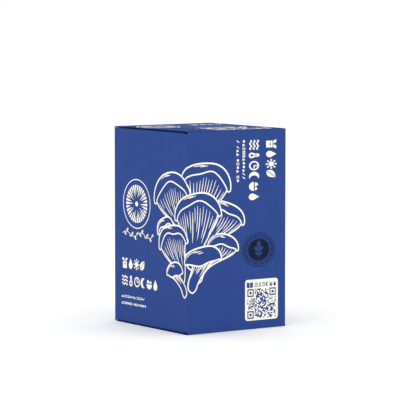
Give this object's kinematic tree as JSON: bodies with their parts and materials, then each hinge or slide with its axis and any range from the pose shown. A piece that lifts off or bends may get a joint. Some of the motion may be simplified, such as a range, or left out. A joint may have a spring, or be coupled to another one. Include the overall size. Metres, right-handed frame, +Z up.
{
  "type": "boxed mushroom grow kit",
  "caption": "Tuck-end folding carton with a hinged tuck-in lid and dust flaps, holding a bagged block of colonised mushroom substrate.",
  "frame": {"origin": "middle of the footprint, on the surface that the carton stands on", "axes": "+Z up; the front wall, behind which the lid tucks in, faces -Y; the lid folds at the back wall, on +Y; the side walls face -X and +X"},
  "size_m": [0.122, 0.134, 0.203],
  "materials": {
    "carton_sleeve": "matt printed board",
    "lid_panel": "matt printed board",
    "lid_tuck_flap": "matt printed board",
    "lid_dust_flap_left": "matt printed board",
    "lid_dust_flap_right": "matt printed board",
    "bottom_panel": "matt printed board",
    "bottom_tuck_flap": "matt printed board",
    "bottom_dust_flap_left": "matt printed board",
    "bottom_dust_flap_right": "matt printed board",
    "grow_block": "matt white mycelium on sawdust",
    "grow_bag": "clear film",
    "filter_patch": "matt membrane",
    "closing_tape": "glossy film tape"
  },
  "bodies": {
    "carton": {"carton_sleeve": "carton_sleeve", "bottom_panel": "bottom_panel", "bottom_tuck_flap": "bottom_tuck_flap", "bottom_dust_flap_left": "bottom_dust_flap_left", "bottom_dust_flap_right": "bottom_dust_flap_right", "grow_block": "grow_block", "grow_bag": "grow_bag", "filter_patch": "filter_patch", "closing_tape": "closing_tape"},
    "lid": {"lid_panel": "lid_panel"},
    "tuck_flap": {"lid_tuck_flap": "lid_tuck_flap"},
    "dust_flap_left": {"lid_dust_flap_left": "lid_dust_flap_left"},
    "dust_flap_right": {"lid_dust_flap_right": "lid_dust_flap_right"}
  },
  "joints": [
    {"name": "lid_hinge", "type": "hinge", "parent": "carton", "child": "lid", "pos_m": [0, 0.0662, 0.2022], "axis": [-1, 0, 0], "range_deg": [0, 180]},
    {"name": "tuck_flap_crease", "type": "hinge", "parent": "lid", "child": "tuck_flap", "pos_m": [0, -0.0651, 0.2022], "axis": [-1, 0, 0], "range_deg": [0, 90]},
    {"name": "dust_flap_left_crease", "type": "hinge", "parent": "carton", "child": "dust_flap_left", "pos_m": [-0.0602, 0, 0.2005], "axis": [0, -1, 0], "range_deg": [0, 60]},
    {"name": "dust_flap_right_crease", "type": "hinge", "parent": "carton", "child": "dust_flap_right", "pos_m": [0.0602, 0, 0.2005], "axis": [0, 1, 0], "range_deg": [0, 60]}
  ],
  "couplings": [
    {"joint": "tuck_flap_crease", "follows": "lid_hinge", "ratio": 0.5},
    {"joint": "dust_flap_left_crease", "follows": "lid_hinge", "ratio": 0.33333},
    {"joint": "dust_flap_right_crease", "follows": "lid_hinge", "ratio": 0.33333}
  ]
}
